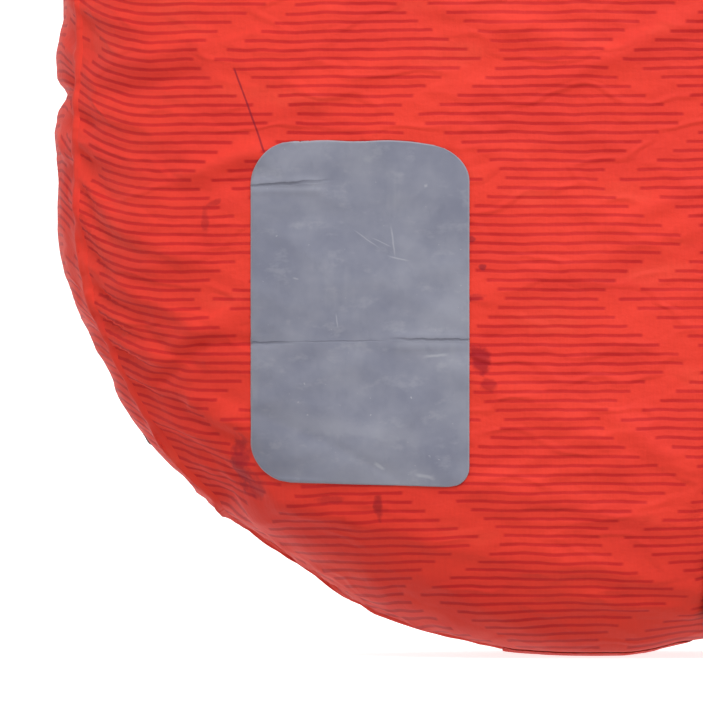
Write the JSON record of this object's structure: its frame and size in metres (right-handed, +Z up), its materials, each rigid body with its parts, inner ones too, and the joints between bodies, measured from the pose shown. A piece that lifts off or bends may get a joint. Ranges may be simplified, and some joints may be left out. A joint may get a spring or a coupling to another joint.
{
  "type": "compression sack",
  "caption": "Stuffed oval fabric sack standing on a rounded base, with a drawcord mouth under a domed lid that straps and buckles pull down.",
  "frame": {"origin": "on the floor, at the middle of the flat base pad that the sack stands on", "axes": "+Z up to the lid, -Y towards the front with the repair patch, +X to the right seen from the front, along the sack's width"},
  "size_m": [0.3956, 0.2121, 0.5043],
  "materials": {
    "shell_fabric": "light ripstop, slight sheen, darker woven stripes",
    "webbing": "matt woven nylon",
    "buckle_plastic": "moulded satin",
    "patch_film": "matt coated adhesive film, creased and scuffed",
    "cord": "braided",
    "seam_tape": "woven binding tape",
    "steel": "plain"
  },
  "bodies": {
    "sack": {"front_panel": "shell_fabric", "back_panel": "shell_fabric", "seam_binding": "seam_tape", "repair_patch": "patch_film", "base_pad": "shell_fabric", "haul_loop_anchor": "webbing", "strap_run_1": "webbing", "strap_run_2": "webbing", "strap_run_3": "webbing", "strap_anchor_1": "webbing", "strap_anchor_2": "webbing", "strap_anchor_3": "webbing"},
    "lid": {"lid_skirt": "shell_fabric", "lid_edge_binding": "webbing", "lid_piping": "webbing", "lid_top": "shell_fabric", "lid_handle": "webbing", "lid_tab_1": "webbing", "lid_tab_2": "webbing", "lid_tab_3": "webbing", "strap_tail_1": "webbing", "strap_tail_2": "webbing", "strap_tail_3": "webbing"},
    "throat": {"mouth_hem": "shell_fabric", "drawcord": "cord", "cord_end_knot": "cord", "eyelet_front": "steel", "eyelet_back": "steel"},
    "cord_lock": {"cord_lock_barrel": "buckle_plastic", "cord_lock_spring": "steel"},
    "cord_button": {"cord_lock_button": "buckle_plastic"},
    "haul_loop": {"haul_loop": "webbing"},
    "lock_1": {"ladder_lock_1": "buckle_plastic"},
    "pull_1": {"pull_tab_1": "webbing"},
    "lock_2": {"ladder_lock_2": "buckle_plastic"},
    "pull_2": {"pull_tab_2": "webbing"},
    "lock_3": {"ladder_lock_3": "buckle_plastic"},
    "pull_3": {"pull_tab_3": "webbing"}
  },
  "joints": [
    {"name": "lid_compress", "type": "slide", "parent": "sack", "child": "lid", "axis": [0, 0, 1], "range_m": [-0.11, 0], "deforming": ["front_panel", "back_panel", "seam_binding", "repair_patch", "strap_run_1", "strap_run_2", "strap_run_3"]},
    {"name": "throat_drop", "type": "slide", "parent": "sack", "child": "throat", "axis": [0, 0, 1], "range_m": [-0.11, 0]},
    {"name": "lock_tilt_1", "type": "hinge", "parent": "lid", "child": "lock_1", "pos_m": [0.05053, -0.09968, 0.3595], "axis": [-0.9983, -0.0581, 0], "range_deg": [0, 35], "deforming": ["strap_tail_1"]},
    {"name": "strap_pull_1", "type": "slide", "parent": "lid", "child": "pull_1", "axis": [0, 0, 1], "range_m": [-0.11, 0], "deforming": ["strap_tail_1"]},
    {"name": "lock_tilt_2", "type": "hinge", "parent": "lid", "child": "lock_2", "pos_m": [0.11706, 0.09006, 0.3595], "axis": [0.9674, -0.2532, 0], "range_deg": [0, 35], "deforming": ["strap_tail_2"]},
    {"name": "strap_pull_2", "type": "slide", "parent": "lid", "child": "pull_2", "axis": [0, 0, 1], "range_m": [-0.11, 0], "deforming": ["strap_tail_2"]},
    {"name": "lock_tilt_3", "type": "hinge", "parent": "lid", "child": "lock_3", "pos_m": [-0.17866, 0.05807, 0.3595], "axis": [0.6955, 0.7185, 0], "range_deg": [0, 35], "deforming": ["strap_tail_3"]},
    {"name": "strap_pull_3", "type": "slide", "parent": "lid", "child": "pull_3", "axis": [0, 0, 1], "range_m": [-0.11, 0], "deforming": ["strap_tail_3"]},
    {"name": "cord_lock_slide", "type": "slide", "parent": "throat", "child": "cord_lock", "axis": [1, 0, 0], "range_m": [0, 0.02]},
    {"name": "cord_lock_press", "type": "slide", "parent": "cord_lock", "child": "cord_button", "axis": [0, 1, 0], "range_m": [0, 0.003], "stiffness_N_per_m": 800, "springref_m": -0.002, "deforming": ["cord_lock_spring"]},
    {"name": "haul_loop_swing", "type": "hinge", "parent": "sack", "child": "haul_loop", "pos_m": [-0.035, 0.0984, 0.132], "axis": [1, 0, 0], "range_deg": [0, 150]}
  ],
  "couplings": [
    {"joint": "throat_drop", "follows": "lid_compress", "ratio": 1},
    {"joint": "strap_pull_1", "follows": "lid_compress", "ratio": 1},
    {"joint": "strap_pull_2", "follows": "lid_compress", "ratio": 1},
    {"joint": "strap_pull_3", "follows": "lid_compress", "ratio": 1}
  ]
}
